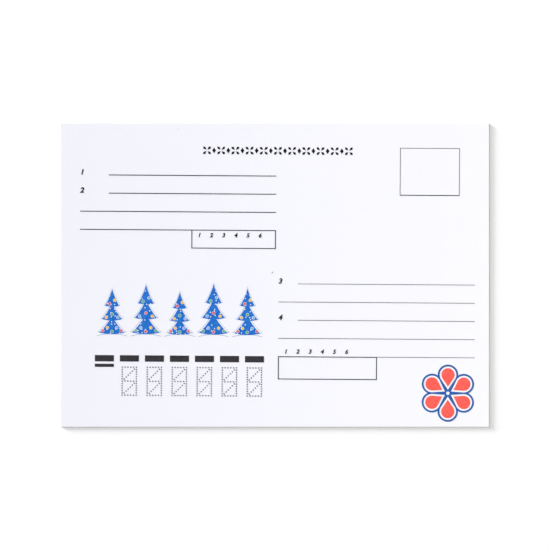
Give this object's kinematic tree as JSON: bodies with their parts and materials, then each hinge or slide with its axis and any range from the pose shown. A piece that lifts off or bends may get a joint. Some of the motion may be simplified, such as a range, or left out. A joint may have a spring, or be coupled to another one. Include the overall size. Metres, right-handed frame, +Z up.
{
  "type": "postcard",
  "caption": "Flat rectangular postcard of layered board, with ruled address lines, a stamp box, sorting bars, dotted code outlines and a small festive print.",
  "frame": {"origin": "middle of the underside, the picture side, which lies on the table", "axes": "+X along the long edge, reading direction; +Y along the short edge, towards the heading; +Z up out of the address side"},
  "size_m": [0.148, 0.105, 0.0004],
  "materials": {
    "address_paper": "uncoated, smooth, bleached white",
    "core_paper": "bulky pulp, slightly cream",
    "picture_paper": "bleached white",
    "clay_coating": "smooth white coating",
    "picture_ink": "film of process ink",
    "gloss_varnish": "clear gloss over the picture",
    "black_ink": "dull black offset ink",
    "blue_ink": "process blue, slightly mottled",
    "snow_line_ink": "light tint of blue",
    "red_ink": "warm red",
    "yellow_ink": "warm yellow",
    "green_ink": "leaf green",
    "pale_blue_ink": "light blue",
    "emblem_blue_ink": "deep blue",
    "emblem_red_ink": "bright red"
  },
  "bodies": {
    "root": {"address_ply": "address_paper", "code_bar_1": "black_ink", "code_bar_2": "black_ink", "code_bar_3": "black_ink", "code_bar_4": "black_ink", "code_bar_5": "black_ink", "code_bar_6": "black_ink", "code_bar_7": "black_ink", "code_bar_second": "black_ink", "code_stencil_1": "black_ink", "code_stencil_2": "black_ink", "code_stencil_3": "black_ink", "code_stencil_4": "black_ink", "code_stencil_5": "black_ink", "code_stencil_6": "black_ink", "core_ply": "core_paper", "fir_baubles_green": "green_ink", "fir_baubles_pale": "pale_blue_ink", "fir_baubles_red": "red_ink", "fir_baubles_yellow": "yellow_ink", "fir_row_blue": "blue_ink", "fir_row_snow_line": "snow_line_ink", "heading_border": "black_ink", "picture_coating": "clay_coating", "picture_ply": "picture_paper", "picture_print": "picture_ink", "picture_varnish": "gloss_varnish", "recipient_index_frame": "black_ink", "recipient_rule_1": "black_ink", "recipient_rule_2": "black_ink", "recipient_rule_3": "black_ink", "recipient_rule_4": "black_ink", "recipient_rule_5": "black_ink", "rosette_blue": "emblem_blue_ink", "rosette_red": "emblem_red_ink", "sender_index_frame": "black_ink", "sender_rule_1": "black_ink", "sender_rule_2": "black_ink", "sender_rule_3": "black_ink", "sender_rule_4": "black_ink", "stamp_frame": "black_ink"}
  },
  "joints": []
}
